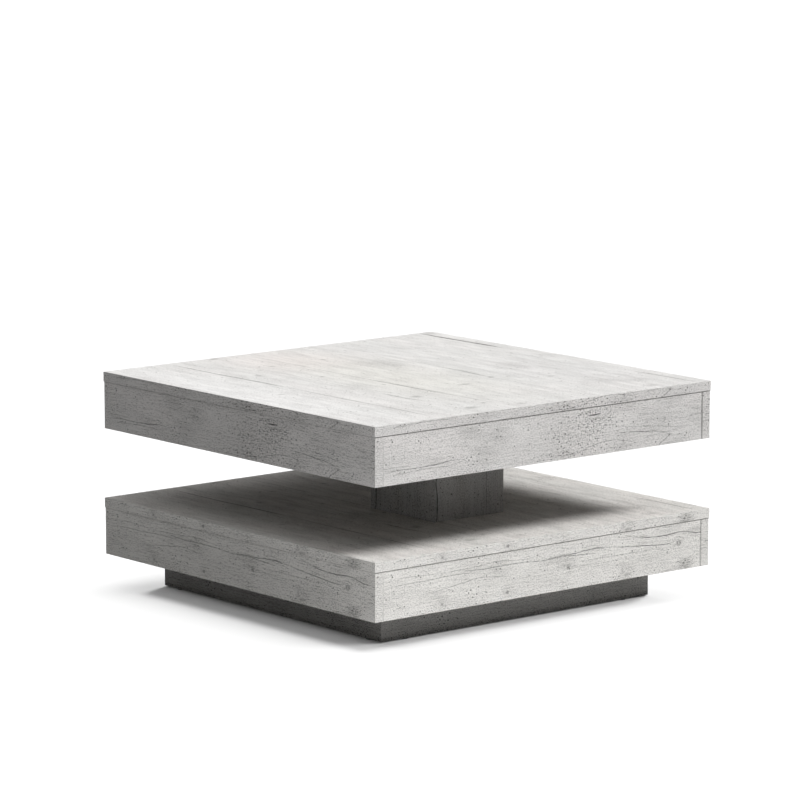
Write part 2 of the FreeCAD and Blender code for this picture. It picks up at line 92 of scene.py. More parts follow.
def add(tree, kind, sockets=(), out=None, **settings):
    """Add a node, set it, fill or link its sockets, and return an output, the first in use by default."""
    node = tree.nodes.new("ShaderNode" + kind)
    for name, value in settings.items():
        setattr(node, name, value)
    for name, value in dict(sockets).items():
        if isinstance(value, bpy.types.NodeSocket):
            tree.links.new(value, node.inputs[name])
        else:
            node.inputs[name].default_value = value
    if out is not None:
        return node.outputs[out]
    return next((socket for socket in node.outputs if socket.enabled), node)


def new_material(name):
    """Empty node material."""
    material = bpy.data.materials.new(name)
    material.use_nodes = True
    material.node_tree.nodes.clear()
    return material, material.node_tree


def millimetres(tree):
    """Places on the piece, in millimetres."""
    return add(tree, "VectorMath", {0: add(tree, "TexCoord", out="Object"), 1: MM}, operation="MULTIPLY")


def beyond(tree, value, limit):
    """One where a value of either sign is past a limit, else nought."""
    value = add(tree, "Math", {0: value}, operation="ABSOLUTE")
    return add(tree, "Math", {0: value, 1: limit}, operation="GREATER_THAN")


print("white wash #e9e7e2 is", [round(float(v), 3) for v in linear("#e9e7e2")[:3]])

# %% [markdown]
# ## The sky
#
# A soft sky, bright overhead and dark from 20 degrees down, fills the shade beside the main lamp, as a
# white ceiling does in a studio. To the camera and in reflections the sky is plain white, so the picture's
# ground is white with no more light on the table.

# %% The sky
SKY_EDGE = 0.33   # sine of the angle where the sky begins to shine, 19 degrees up
SKY_HIGH = 0.88   # brightness of the sky as a light, overhead

world = bpy.data.worlds.new("studio")
world.use_nodes = True
sky = world.node_tree
sky.nodes.clear()


def watched(tree):
    """One for rays that are seen, direct, mirrored or through glass. Nought for lighting rays."""
    camera_ray = add(tree, "LightPath", out="Is Camera Ray")
    mirrored = add(tree, "LightPath", out="Is Glossy Ray")
    passed = add(tree, "LightPath", out="Is Transmission Ray")
    either = add(tree, "Math", {0: camera_ray, 1: mirrored}, operation="MAXIMUM")
    return add(tree, "Math", {0: either, 1: passed}, operation="MAXIMUM")


height = add(sky, "SeparateXYZ", {"Vector": add(sky, "TexCoord", out="Generated")}, out="Z")
softbox = add(sky, "MapRange", {"Value": height, "From Min": SKY_EDGE, "From Max": 1.0,
                                "To Max": SKY_HIGH})
strength = add(sky, "MapRange", {"Value": watched(sky), "To Min": softbox, "To Max": 1.0})
light = add(sky, "Background", {"Color": (1, 1, 1, 1), "Strength": strength})
add(sky, "OutputWorld", {"Surface": light})
bpy.context.scene.world = world
bpy.context.scene.view_settings.view_transform = "Standard"
print("sky:", SKY_HIGH, "overhead as a light, 1 as it is seen")

# %% [markdown]
# ## The floor
#
# The floor is a white sweep that keeps a small soft shadow round the table's foot, as on a light table. Its
# paper is grey and its lamps are strong enough to make it white, so the shadow keeps its tones. The sweep
# throws no light at the table. A sheet of grey paper just under it, 4 m wide, does that, and weaker than
# white paper would, because then the shaded sides would turn pale and flat.

# %% The sweep and the sheet under it
FLOOR_HALF, BOUNCE_HALF = 40.0, 2.0   # half-widths of the sweep and of the sheet, in metres
BOUNCE_DROP = 0.001                   # the sheet lies this far under the sweep, in metres
FLOOR_BOUNCE = 0.305                  # share of light that the sheet throws back at the table
FLOOR_PAPER = "#c4c4c4"
FLOOR_GLOW = 0.04                     # how much the floor shines by itself, as a light table


def flat_sheet(name, half, steps=3):
    """Flat sheet: a square grid of points at height nought, x and y from -half to half."""
    line = np.linspace(-half, half, steps)
    x, y = np.meshgrid(line, line)
    points = np.stack([x, y, np.zeros_like(x)], axis=-1).reshape(-1, 3)
    corner = (np.arange(steps - 1)[:, None] * steps + np.arange(steps - 1)).reshape(-1)
    faces = np.stack([corner, corner + 1, corner + steps + 1, corner + steps], axis=-1)
    mesh = bpy.data.meshes.new(name)
    mesh.from_pydata(points.tolist(), [], faces.tolist())
    thing = bpy.data.objects.new(name, mesh)
    bpy.context.collection.objects.link(thing)
    return thing


floor = flat_sheet("floor", FLOOR_HALF)
material, tree = new_material("white_paper_sweep")
paper = add(tree, "BsdfDiffuse", {"Color": linear(FLOOR_PAPER)})
glow = add(tree, "Emission", {"Color": (1, 1, 1, 1), "Strength": FLOOR_GLOW})
add(tree, "OutputMaterial", {"Surface": add(tree, "AddShader", {0: paper, 1: glow})})
floor.data.materials.append(material)
floor.visible_diffuse = False
floor.visible_shadow = False

reflector = flat_sheet("floor_bounce", BOUNCE_HALF)
reflector.data.transform(Matrix.Translation((0, 0, -BOUNCE_DROP)))
material, tree = new_material("grey_paper_under_the_sweep")
paper = add(tree, "BsdfDiffuse", {"Color": (FLOOR_BOUNCE, FLOOR_BOUNCE, FLOOR_BOUNCE, 1)})
add(tree, "OutputMaterial", {"Surface": paper})
reflector.data.materials.append(material)
reflector.visible_camera = False
reflector.visible_glossy = False
reflector.visible_transmission = False
print("sweep:", 2 * FLOOR_HALF, "m wide; the sheet under it throws back", FLOOR_BOUNCE)

# %% [markdown]
# ## The lamps
#
# One large soft lamp stands to the right, level with the front face. It lights the top and the front and
# leaves the left face in shade. A weak wide lamp in front and a small round one near the front left corner
# lift the boards there. Lamps can be told what to light and what casts their shadow. So the floor has four
# lamps of its own, shaded only by the plinth, and the sweep is white right up to the table's foot.

# %% The lamps
# Towards each lamp, its strength, and its width in degrees as the table sees it.
KEY_LAMP = (128, -75, 128.5), 3.95, 20
FILL_LAMP = (20, -100, 95), 0.12, 40
FLOOR_LAMPS = [((50, 21, 100), 2.53, 13), ((88, -41, 100), 2.53, 34),
               ((16, 22, 100), 0.35, 10), ((2, 45, 100), 0.57, 14)]
LAMP_AWAY = 3   # metres; where a far lamp stands only matters in the viewport
CORNER_PLACE = (-0.78, -0.57, 0.17)
CORNER_AIM, CORNER_WATTS, CORNER_WIDTH = (-0.39, -0.39, 0.2), 0.23, 0.2


def lamp(name, side, strength, spread):
    """Far, round, soft lamp that shines from a side."""
    data = bpy.data.lights.new(name, "SUN")
    data.energy = strength
    data.angle = radians(spread)
    thing = bpy.data.objects.new(name, data)
    way = Vector(side).normalized()
    thing.location = way * LAMP_AWAY
    thing.rotation_euler = way.to_track_quat("Z", "Y").to_euler()
    bpy.context.collection.objects.link(thing)
    return thing


def group_of(name, objects, state):
    """Collection for light linking, with one state for all its objects."""
    group = bpy.data.collections.new(name)
    for thing in objects:
        group.objects.link(thing)
    for entry in group.collection_objects:
        entry.light_linking.link_state = state
    return group


key = lamp("key_lamp", *KEY_LAMP)
key.light_linking.receiver_collection = group_of("all_but_the_floor", [floor], "EXCLUDE")
fill = lamp("fill_lamp", *FILL_LAMP)
fill.light_linking.receiver_collection = key.light_linking.receiver_collection
only_floor = group_of("only_the_floor", [floor], "INCLUDE")
plinth_nodes = [node for name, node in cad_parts.items() if name.startswith("plinth_")]
foot = group_of("plinth_parts", plinth_nodes, "INCLUDE")
for number, (side, strength, spread) in enumerate(FLOOR_LAMPS, 1):
    overhead = lamp(f"floor_lamp_{number}", side, strength, spread)
    overhead.light_linking.receiver_collection = only_floor
    overhead.light_linking.blocker_collection = foot

corner = bpy.data.objects.new("corner_lamp", bpy.data.lights.new("corner_lamp", "AREA"))
corner.data.shape = "DISK"
corner.data.size = CORNER_WIDTH
corner.data.energy = CORNER_WATTS
corner.location = CORNER_PLACE
way = Vector(CORNER_PLACE) - Vector(CORNER_AIM)
corner.rotation_euler = way.to_track_quat("Z", "Y").to_euler()
above = group_of("all_above_the_plinth", [floor] + plinth_nodes, "EXCLUDE")
corner.light_linking.receiver_collection = above
bpy.context.collection.objects.link(corner)
print("lamps on the table: 3; on the floor:", len(FLOOR_LAMPS), "shaded by", len(plinth_nodes), "parts")

# %% [markdown]
# ## How the decor is laid on the boards
#
# The print comes on a roll and is pressed on every face of a board. A shader can do the same if it knows,
# for each point, how far along and across the board it is. No unwrapping is needed, because the boards
# stand square to the axes: the normal says which way a face looks, and the place does the rest.
#
# The two boxes are cut so that the grain runs round them, and front to back on the top and the shelf. The
# roll repeats every 82 mm across, so the edge of a top board shows again what is on the apron below.
#
# Joints between boards catch dust and shade, so their ink is dust and painted shade together. The level
# joint under a top board shows on all four sides, and is drawn stronger at the front and back than at the
# sides. The upright joint near a face's right end shows only at the front and back, because there the
# apron ends against its neighbour.
#
# Faces that nobody sees, inside the boxes, have plain grey backing paper. It keeps the board from warping.

# %% Places on a board
REPEAT = 82.0                # the print comes again after this many millimetres
APRON = 86.5                 # height of an apron
HALF = 390.0                 # half the width of the table
RIM = 371.0                  # where the aprons begin, from the middle
LYING_SLICE = 500.0          # lying faces are cut from the noise this far from the standing ones
LEVEL_JOINT = APRON - 0.4, 0.9           # height of a joint under a top board, and half its width
UPRIGHT_JOINT = 2 * HALF - 20.2, 1.9     # distance of an upright joint from the left end, and the same
LEVEL_INK = 0.36, 0.85                   # share of the joint ink there: at the sides, at front and back
UPRIGHT_INK = 0.95                       # and at an upright joint


def board_places(tree, foot, middle):
    """What the print has to know about a point on a board, as node outputs.

    print is the place on the roll, in millimetres. On a standing face, along is the distance from its
    left end as seen from outside: the upright part of normal x place, plus half the table. On a lying
    face, along runs from front to back. lying and front say which way the face looks. A face is hidden
    if it looks towards the middle, unless it is the lower edge of an apron. ends are the strips past an
    upright joint, and seams is the ink in the joints: dust and painted shade.
    """
    middle = tuple(-v for v in middle)
    at = add(tree, "VectorMath", {0: add(tree, "TexCoord", out="Object"), 1: MM, 2: middle},
             operation="MULTIPLY_ADD")
    facing = add(tree, "TexCoord", out="Normal")
    x, y, z = add(tree, "SeparateXYZ", {0: at}).node.outputs
    face_y, face_z = add(tree, "SeparateXYZ", {0: facing}).node.outputs[1:]
    lying, front = beyond(tree, face_z, HALF_WAY), beyond(tree, face_y, HALF_WAY)

    turned = add(tree, "VectorMath", {0: facing, 1: at}, operation="CROSS_PRODUCT")
    turned = add(tree, "SeparateXYZ", {0: turned}, out="Z")
    turned = add(tree, "Math", {0: turned, 1: HALF}, operation="ADD")
    height = add(tree, "Math", {0: z, 1: foot}, operation="SUBTRACT")
    second = add(tree, "Math", {0: height, 1: APRON}, operation="GREATER_THAN")
    folded = add(tree, "Math", {0: second, 1: -REPEAT, 2: height}, operation="MULTIPLY_ADD")
    standing_print = add(tree, "CombineXYZ", {0: turned, 1: folded})
    lying_print = add(tree, "CombineXYZ", {0: y, 1: x, 2: LYING_SLICE})
    spread = add(tree, "Mix", {"Factor": lying, "A": standing_print, "B": lying_print},
                 data_type="VECTOR")

    inward = add(tree, "VectorMath", {0: facing, 1: at}, out="Value", operation="DOT_PRODUCT")
    inward = add(tree, "Math", {0: inward, 1: 0.0}, operation="LESS_THAN")
    far_x, far_y = beyond(tree, x, RIM), beyond(tree, y, RIM)
    rim = add(tree, "Math", {0: far_x, 1: far_y}, operation="MAXIMUM")
    rim = add(tree, "Math", {0: rim, 1: lying}, operation="MULTIPLY")
    hidden = add(tree, "Math", {0: inward, 1: rim}, operation="SUBTRACT", use_clamp=True)
    ends = add(tree, "Math", {0: far_x, 1: front}, operation="MULTIPLY")
    ends = add(tree, "Math", {0: ends, 1: second}, operation="SUBTRACT", use_clamp=True)

    level = add(tree, "Math", {0: height, 1: LEVEL_JOINT[0], 2: LEVEL_JOINT[1]}, operation="COMPARE")
    ink = add(tree, "MapRange", {"Value": front, "To Min": LEVEL_INK[0], "To Max": LEVEL_INK[1]})
    level = add(tree, "Math", {0: level, 1: ink}, operation="MULTIPLY")
    upright = add(tree, "Math", {0: turned, 1: UPRIGHT_JOINT[0], 2: UPRIGHT_JOINT[1]},
                  operation="COMPARE")
    ink = add(tree, "Math", {0: front, 1: UPRIGHT_INK}, operation="MULTIPLY")
    upright = add(tree, "Math", {0: upright, 1: ink}, operation="MULTIPLY")
    upright = add(tree, "Math", {0: upright, 1: second}, operation="SUBTRACT", use_clamp=True)
    seams = add(tree, "Math", {0: level, 1: upright}, operation="MAXIMUM")
    seams = add(tree, "Math", {0: seams, 1: lying}, operation="SUBTRACT", use_clamp=True)
    return {"print": spread, "lying": lying, "front": front, "hidden": hidden, "ends": ends,
            "seams": seams}


print("print repeats every", REPEAT, "mm, apron", APRON, "mm high")

# %% [markdown]
# ## The base print: whitewashed, weathered wood
#
# Under a thin white wash, old softwood shows three things at once. Its tone drifts in clouds as wide as a
# hand. Its grain makes streaks a millimetre or two wide and a few centimetres long. Dirt sits in small
# dashes and grit where the wash has worn. Each is a noise, stretched along the board by its real size.
# Lying boards have a broader mottle too, drawn out along their planks.
#
# An ink layer is a number from nought to one, so layers can be added, and at the end one mix lays grey ink
# over pale paper. That is how the decor printer works too: one pale ground and a few dark inks.

# %% Ground and grain
PIT_CELL = (1 / 4.5, 1 / 4.2, 0.0)    # one pit at most in each cell of 4.5 x 4.2 mm
PIT_SLIP = (0.3, 0.3, 0.0)            # share of a cell by which all are moved
PIT_RADIUS = 0.13, 0.36               # smallest and largest, as a share of a cell
PIT_EDGE = 14.0                       # how steeply a pit's edge falls, per cell


def stretched_noise(tree, spread, length, width, detail=2.0, low=0.35, high=0.65, slip=0.0):
    """Noise drawn out along the board, from nought at low to one at high. Sizes in millimetres."""
    squeeze = (1 / length, 1 / width, 1.0)
    place = add(tree, "VectorMath", {0: spread, 1: squeeze, 2: (slip, slip, slip)},
                operation="MULTIPLY_ADD")
    noise = add(tree, "TexNoise", {"Vector": place, "Scale": 1.0, "Detail": detail, "Roughness": 0.6})
    return add(tree, "MapRange", {"Value": noise, "From Min": low, "From Max": high})


def worm_holes(tree, spread, density):
    """Round dark pits, 1.2 to 3.2 mm wide and mostly small.

    The nearest cell centre is the pit, and the random colour of a cell sets its radius, squared so that
    most are small. Density, nought to one, is how many cells have a pit.
    """
    place = add(tree, "VectorMath", {0: spread, 1: PIT_CELL, 2: PIT_SLIP}, operation="MULTIPLY_ADD")
    cells = add(tree, "TexVoronoi", {"Vector": place, "Scale": 1.0}, voronoi_dimensions="2D").node
    size, pick = add(tree, "SeparateColor", {0: cells.outputs["Color"]}).node.outputs[:2]
    size = add(tree, "Math", {0: size, 1: 2.0}, operation="POWER")
    radius = add(tree, "MapRange", {"Value": size, "To Min": PIT_RADIUS[0], "To Max": PIT_RADIUS[1]})
    pit = add(tree, "Math", {0: radius, 1: cells.outputs["Distance"]}, operation="SUBTRACT")
    pit = add(tree, "Math", {0: pit, 1: PIT_EDGE}, operation="MULTIPLY", use_clamp=True)
    kept = add(tree, "Math", {0: pick, 1: density}, operation="LESS_THAN")
    return add(tree, "Math", {0: pit, 1: kept}, operation="MULTIPLY")


print("noises and pits are ready, sizes in millimetres")

# %% [markdown]
# ## What is drawn on the print
#
# Cracks, knots and stains have their own places on the roll. A crack is a curve: its points are listed,
# and a Float Curve node makes the smooth course between them, so the shader only has to ask how far a
# point is from it. Real drying cracks keep their width and run out to nothing near both ends, which a
# fifth power gives. A stain is a soft oval. A knot is a set of oval rings round a paler heart.

# %% Cracks, stains and knots
CRACK_SPAN = 100      # millimetres across that one crack's curve can cover
CRACK_FALL = 5.0      # the power by which a crack's width falls towards its ends
KNOT_REACH = 3        # a knot's outermost ring, in knot sizes
KNOT_PROFILE = [(0.0, 0.35), (0.09, 0.45), (0.22, 1.0), (0.3, 0.7), (0.4, 0.15), (0.66, 0.06),
                (0.76, 0.3), (0.86, 0.05), (1.0, 0.0)]   # (share of its reach, ink)


def fill_curve(curve, spots):
    """Give a Float Curve its points. It starts with two, which become the first and the last."""
    curve.points[0].location, curve.points[1].location = spots[0], spots[-1]
    for spot in spots[1:-1]:
        curve.points.new(*spot)


def crack(tree, place, points, half_width, soft=0.9, span=CRACK_SPAN, base=0.0):
    """Ink of one drawn line through (along, across) points, in millimetres.

    Place is the (along, across) of the shaded point. The line's course is a smooth curve over its length.
    Its half-width falls to nought at both ends, as one minus the fifth power of the distance from the
    middle. A Float Curve's values stay between nought and one, here from base to base + span across.
    """
    points = np.array(points, float)
    start, end = points[0, 0], points[-1, 0]
    share = add(tree, "MapRange", {"Value": place[0], "From Min": start, "From Max": end}, clamp=False)
    course = add(tree, "FloatCurve", {"Value": share})
    spots = np.stack([(points[:, 0] - start) / (end - start), (points[:, 1] - base) / span], axis=-1)
    fill_curve(course.node.mapping.curves[0], spots)
    course.node.mapping.update()
    course = add(tree, "Math", {0: course, 1: span, 2: base}, operation="MULTIPLY_ADD")
    away = add(tree, "Math", {0: place[1], 1: course}, operation="SUBTRACT")
    away = add(tree, "Math", {0: away}, operation="ABSOLUTE")
    middle = add(tree, "Math", {0: share, 1: 2.0, 2: -1.0}, operation="MULTIPLY_ADD")
    middle = add(tree, "Math", {0: middle}, operation="ABSOLUTE")
    ends = add(tree, "Math", {0: middle, 1: CRACK_FALL}, operation="POWER")
    reach = add(tree, "Math", {0: ends, 1: -half_width, 2: half_width}, operation="MULTIPLY_ADD")
    ink = add(tree, "Math", {0: reach, 1: away}, operation="SUBTRACT")
    return add(tree, "Math", {0: ink, 1: 1 / soft}, operation="MULTIPLY", use_clamp=True)


def oval(tree, spread, centre, size):
    """Distance from a centre, one at the edge of an oval with the given half-sizes."""
    squeeze = (1 / size[0], 1 / size[1], 0.0)
    shift = (-centre[0] / size[0], -centre[1] / size[1], 0.0)
    place = add(tree, "VectorMath", {0: spread, 1: squeeze, 2: shift}, operation="MULTIPLY_ADD")
    return add(tree, "VectorMath", {0: place}, out="Value", operation="LENGTH")


# Besides stains, tints and wormy zones, soft ovals draw the painted shade along the plinth's foot.
def soft_oval(tree, spread, centre, size, core=0.2):
    """Soft oval, one inside core and nought from its edge on."""
    far = oval(tree, spread, centre, size)
    return add(tree, "MapRange", {"Value": far, "From Min": core, "From Max": 1.0, "To Min": 1.0,
                                  "To Max": 0.0}, interpolation_type="SMOOTHSTEP")


def knot(tree, spread, centre, size):
    """A small knot: a dark oval with a paler heart, and a faint growth ring round it."""
    far = oval(tree, spread, centre, (KNOT_REACH * size[0], KNOT_REACH * size[1]))
    ink = add(tree, "FloatCurve", {"Value": far})
    fill_curve(ink.node.mapping.curves[0], KNOT_PROFILE)
    ink.node.mapping.extend = "HORIZONTAL"
    ink.node.mapping.update()
    return ink


def join(tree, layers, base=None):
    """Add ink layers, each with its own strength, as base + layer x strength + ..."""
    total = base
    for layer, strength in layers:
        if total is None:
            total = add(tree, "Math", {0: layer, 1: strength}, operation="MULTIPLY")
        else:
            total = add(tree, "Math", {0: layer, 1: strength, 2: total}, operation="MULTIPLY_ADD")
    return total


print("drawn features: crack, stain, knot")

# %% [markdown]
# ## The lists: where each crack, stain and knot is
#
# Places are in millimetres from the lower left corner of an apron, along and then across. The upper box has
# wormy wood with a grey stain and a pointed growth ring, the lower box long drying cracks and knots. A
# crack is its points, half its width in millimetres, and its ink. A stain, a knot or a zone of worm holes
# is its centre, its half-sizes, and its ink or the share of cells with a pit.

# %% Features of the two boxes, the top and the shelf
UPPER_CRACKS = [
    ([(14, 22.5), (37, 24.2), (98, 23.8), (148, 26), (172, 28), (213, 24)], 1.0, 0.65),
    ([(10, 17), (60, 17.5), (120, 20), (190, 15)], 0.8, 0.4),
    ([(20, 28.5), (54, 30), (85, 28)], 0.8, 0.4),
    ([(137, 22.2), (157, 19), (172, 21.6), (215, 25)], 0.8, 0.4),
    ([(483, 72.6), (500, 72.2), (518, 73.4)], 1.1, 1.0),
    ([(499, 48), (509, 57), (522, 65.4), (543, 78)], 0.9, 0.5),
    ([(492, 43), (512, 53), (528, 60)], 0.9, 0.35),
    # The pointed ring: its upper and its lower arc meet at (681, 18).
    ([(540, 34), (570, 33.1), (594, 31.4), (619, 29.2), (643, 27.5), (661, 24.6), (686, 16)], 1.1, 0.52),
    ([(650, -2), (658, 4.3), (667, 8.3), (675, 13.1), (686, 22)], 1.1, 0.52),
    ([(543, 45), (597, 41.4), (656, 35), (705, 29.6), (738, 32)], 0.8, 0.46),
    ([(457, 15), (494, 17), (523, 21.7), (541, 22), (576, 17.4), (602, 10.8)], 0.9, 0.62),
    ([(610, 20), (660, 22), (700, 26), (740, 27)], 0.8, 0.25),
    ([(696, 43.5), (728, 45.4), (760, 48)], 0.9, 0.4),
    ([(560, 55), (640, 50), (720, 46)], 0.7, 0.25),
]
UPPER_STAINS = [
    ((250, 25), (55, 28), 0.09), ((232, 38), (30, 16), 0.06), ((640, 50), (60, 26), 0.05),
    ((210, 74), (40, 12), 0.09), ((745, 50), (30, 30), 0.07), ((420, 9), (95, 11), 0.10),
    ((435, 45), (80, 42), 0.05), ((555, 10), (60, 10), 0.10), ((560, 78), (60, 14), 0.08),
    ((680, 18), (6, 4), 0.3), ((668.5, 47.7), (5, 5), 0.3),
]
UPPER_HOLES = [((470, 48), (100, 60), 0.5), ((515, 62), (70, 36), 0.36), ((430, 6), (130, 20), 0.4),
               ((772, 40), (10, 60), 0.5)]
LOWER_CRACKS = [
    ([(20, 57.2), (69, 58.3), (113, 58.2), (160, 60.7), (188, 60.1), (223, 57.4), (244, 55.7)], 0.95, 0.55),
    ([(168, 69.5), (198, 65.6), (240, 62), (288, 62.6), (334, 62), (376, 59.5), (427, 60.4),
      (482, 57.8), (532, 55.2)], 1.05, 0.53),
    ([(382, 59), (413, 62), (458, 62.4), (482, 64.7), (534, 64.2)], 0.95, 0.8),
    ([(533, 53), (537, 59), (541, 64)], 0.9, 0.6),
    ([(538, 63.5), (573, 59.5), (618, 55.6), (673, 51.5), (698, 52.5)], 1.1, 0.74),
    ([(588, 74.5), (613, 71.5), (643, 68.5), (673, 67.5), (708, 69.5), (728, 67.5), (748, 63.5),
      (782, 65)], 1.1, 0.7),
    ([(560, 78), (600, 75), (640, 71)], 0.9, 0.4),
    ([(18, 70), (69, 69.9), (148, 67.5), (223, 68.5), (278, 71), (326, 67.5), (357, 68),
      (385, 73.4)], 0.9, 0.42),
    ([(103, 37.3), (153, 38.4), (188, 42.9), (236, 47.9), (269, 45.1), (322, 40.4)], 0.9, 0.45),
    ([(448, 46), (522, 46.7), (562, 46.1), (622, 45.9), (655, 44.8), (683, 40.3)], 0.9, 0.42),
    ([(430, 33), (470, 38), (520, 37), (560, 38)], 0.8, 0.3),
    ([(690, 62), (720, 58), (742, 52), (758, 40)], 0.9, 0.3),
    ([(694, 30), (706, 22), (722, 19), (738, 23), (750, 33)], 0.9, 0.38),
    ([(698, 20), (710, 13), (726, 11), (742, 16), (756, 29)], 0.9, 0.38),
    ([(704, 11), (716, 5), (730, 4), (744, 8), (752, 15)], 0.9, 0.32),
]
LOWER_KNOTS = [((705, 50), (6, 5), 0.42), ((725, 4), (5, 5), 0.12)]
LOWER_STAINS = [
    ((440, 39.5), (5, 4.5), 0.38), ((298, 13.5), (5, 6), 0.34), ((150, 12.5), (5, 6), 0.22),
    ((580, 8), (5, 6), 0.16), ((722, 10), (26, 18), 0.20), ((440, 45), (30, 14), 0.12),
    ((150, 16), (22, 16), 0.10), ((298, 18), (20, 16), 0.10), ((580, 12), (26, 20), 0.10),
    ((420, 56), (70, 8), 0.10), ((748, 68), (30, 12), 0.12),
]
# On the top and the shelf, places are front to back and left to right from the middle of the table.
PLANK_JOINTS = [
    ([(20, -243), (70, -245), (160, -246), (250, -248), (385, -247)], 2.6, 0.6),
    ([(-390, -246), (-330, -245), (-240, -243), (-170, -245), (40, -243)], 2.2, 0.42),
    ([(-200, -156), (-30, -156), (60, -155), (160, -153), (385, -157)], 1.9, 0.22),
    ([(-232, -150), (-200, -156), (-160, -157), (-120, -155)], 2.8, 0.4),
    ([(-240, -72), (-190, -69), (-110, -74), (-40, -73), (30, -76)], 2.6, 0.3),
    ([(-390, -66), (-300, -70), (-150, -74), (0, -75), (150, -73), (260, -71), (390, -76)], 2.0, 0.34),
    ([(-110, 113), (-80, 112), (-20, 118), (60, 116)], 2.4, 0.26),
    ([(-390, 112), (-250, 110), (-110, 112), (40, 118), (160, 125), (260, 128), (385, 127)], 1.8, 0.24),
    ([(140, 358), (220, 357), (300, 355), (388, 356)], 4.0, 0.65),
    ([(-390, 360), (-300, 359), (-215, 358)], 2.4, 0.42),
]
PLANK_STAINS = [
    ((245, 7), (12, 5), 0.45), ((171, -203), (14, 10), 0.35), ((242, -115), (10, 10), 0.25),
    ((91, -119), (6, 8), 0.45), ((-49, -91), (7, 5), 0.4), ((-140, 21), (9, 22), 0.32),
    ((-315, -84), (6, 7), 0.5), ((-340, -133), (16, 22), 0.34), ((-21, -301), (9, 14), 0.3),
    ((-108, 112), (9, 11), 0.45), ((-168, 203), (8, 14), 0.3), ((-190, -133), (16, 18), 0.32),
    ((-362, -38), (14, 14), 0.26), ((140, 55), (85, 75), 0.18), ((380, -145), (10, 16), 0.4),
    ((-260, 240), (60, 34), 0.12), ((-20, 250), (50, 50), 0.10), ((-300, 300), (30, 40), 0.12),
    ((370, 365), (26, 22), 0.2), ((-360, 270), (16, 20), 0.2),
]
# Planks of the top that lean to another tint: centre, half-sizes, tint and its share.
TOP_TINTS = [
    ((0, -20), (460, 200), "#dedcd5", 0.6), ((270, -50), (200, 200), "#e8dad4", 0.28),
    ((0, -340), (700, 130), "#ecebea", 0.6), ((-150, 280), (300, 170), "#d2d0d0", 0.3),
]
# Painted shade along the foot of the plinth, where the floor's contact shadow falls, and the cracks of the
# column, along and across its height.
PLINTH_FOOT_SHADE = [((390, 0), (4000, 14), 0.3)]
COLUMN_CRACKS = [
    ([(-140, 431), (-60, 430), (10, 431)], 1.0, 0.5),
    ([(-140, 313), (-100, 315), (-72, 311.5), (-40, 315), (10, 312)], 1.6, 0.85),
]
cracks = len(UPPER_CRACKS) + len(LOWER_CRACKS) + len(COLUMN_CRACKS)
print("cracks:", cracks, "knots:", len(LOWER_KNOTS), "plank joints:", len(PLANK_JOINTS))

# %% [markdown]
# ## The weathered wood, layer by layer
#
# The base print has clouds, streaks, mottle, dashes, grit and pits. The grain wanders, so its fine layers
# are drawn on a bent roll. A wormy zone has more pits and more grit, and the wood between the pits is
# scrubbed paler.

# %% The base layers
CLOUDS, MOTTLE, DASHES, GRIT, PITS = 0.14, 0.15, 0.2, 0.34, 1.3   # ink of each layer
STREAKS = 0.13, 0.08                  # ink of the streaks, on standing and lying faces
GRAIN_BEND = 14.0                     # millimetres by which the grain wanders
PIT_DENSITY = 0.03, 0.11              # least and most cells with a pit, away from the wormy zones
ZONE_GRIT, ZONE_WASH = 0.3, -0.15     # more grit and a paler wash in the wormy zones


def base_layers(tree, spread, lying, holes):
    """The weathered wood, as ink layers with their strengths."""
    bend = stretched_noise(tree, spread, 150, 45, detail=1.0, low=0.0, high=1.0)
    bend = add(tree, "Math", {0: bend, 1: GRAIN_BEND}, operation="MULTIPLY")
    bend = add(tree, "CombineXYZ", {1: bend})
    grain = add(tree, "VectorMath", {0: spread, 1: bend}, operation="ADD")
    clouds = stretched_noise(tree, spread, 120, 40, detail=4.0, low=0.3, high=0.7)
    streaks = stretched_noise(tree, grain, 60, 2.2, detail=2.0, low=0.38, high=0.66)
    ink = add(tree, "MapRange", {"Value": lying, "To Min": STREAKS[0], "To Max": STREAKS[1]})
    streaks = add(tree, "Math", {0: streaks, 1: ink}, operation="MULTIPLY")
    dashes = stretched_noise(tree, grain, 14, 2.0, detail=1.0, low=0.6, high=0.74, slip=7.0)
    grit = stretched_noise(tree, grain, 2.6, 2.0, detail=2.0, low=0.42, high=0.64, slip=3.0)
    mottle = stretched_noise(tree, spread, 75, 16, detail=1.0, low=0.3, high=0.7, slip=13.0)
    mottle = add(tree, "Math", {0: mottle, 1: lying}, operation="MULTIPLY")
    layers = [(clouds, CLOUDS), (streaks, 1.0), (mottle, MOTTLE), (dashes, DASHES), (grit, GRIT)]

    density = stretched_noise(tree, spread, 90, 35, detail=1.0, low=0.45, high=0.75, slip=11.0)
    density = add(tree, "MapRange", {"Value": density, "To Min": PIT_DENSITY[0],
                                     "To Max": PIT_DENSITY[1]})
    if holes:
        zone = join(tree, [(soft_oval(tree, spread, centre, size), share) for centre, size, share in holes])
        density = add(tree, "Math", {0: zone, 1: density}, operation="ADD")
        layers.append((add(tree, "Math", {0: grit, 1: zone}, operation="MULTIPLY"), ZONE_GRIT))
        layers.append((zone, ZONE_WASH))
    layers.append((worm_holes(tree, spread, density), PITS))
    return layers


print("base layers of the print: clouds, streaks, mottle, dashes, grit and pits")

# %% [markdown]
# ## The drawing, ragged by the wood
#
# A clean line looks false on old wood. So a fine noise moves the place that the drawing is read from: it
# makes the edges of cracks and joints ragged, and bends the rings of a knot. Cracks, stains and knots are
# drawn on standing faces, plank joints and their own stains on lying ones.

# %% The drawn layers
WOBBLE_CRACK = 3.0                    # millimetres by which the noise moves a crack across the grain
WOBBLE_KNOT = 5.0, -4.0               # the same of a knot's rings, along and across
JOINT_SOFT = 1.6                      # a plank joint's edge fades over this many millimetres


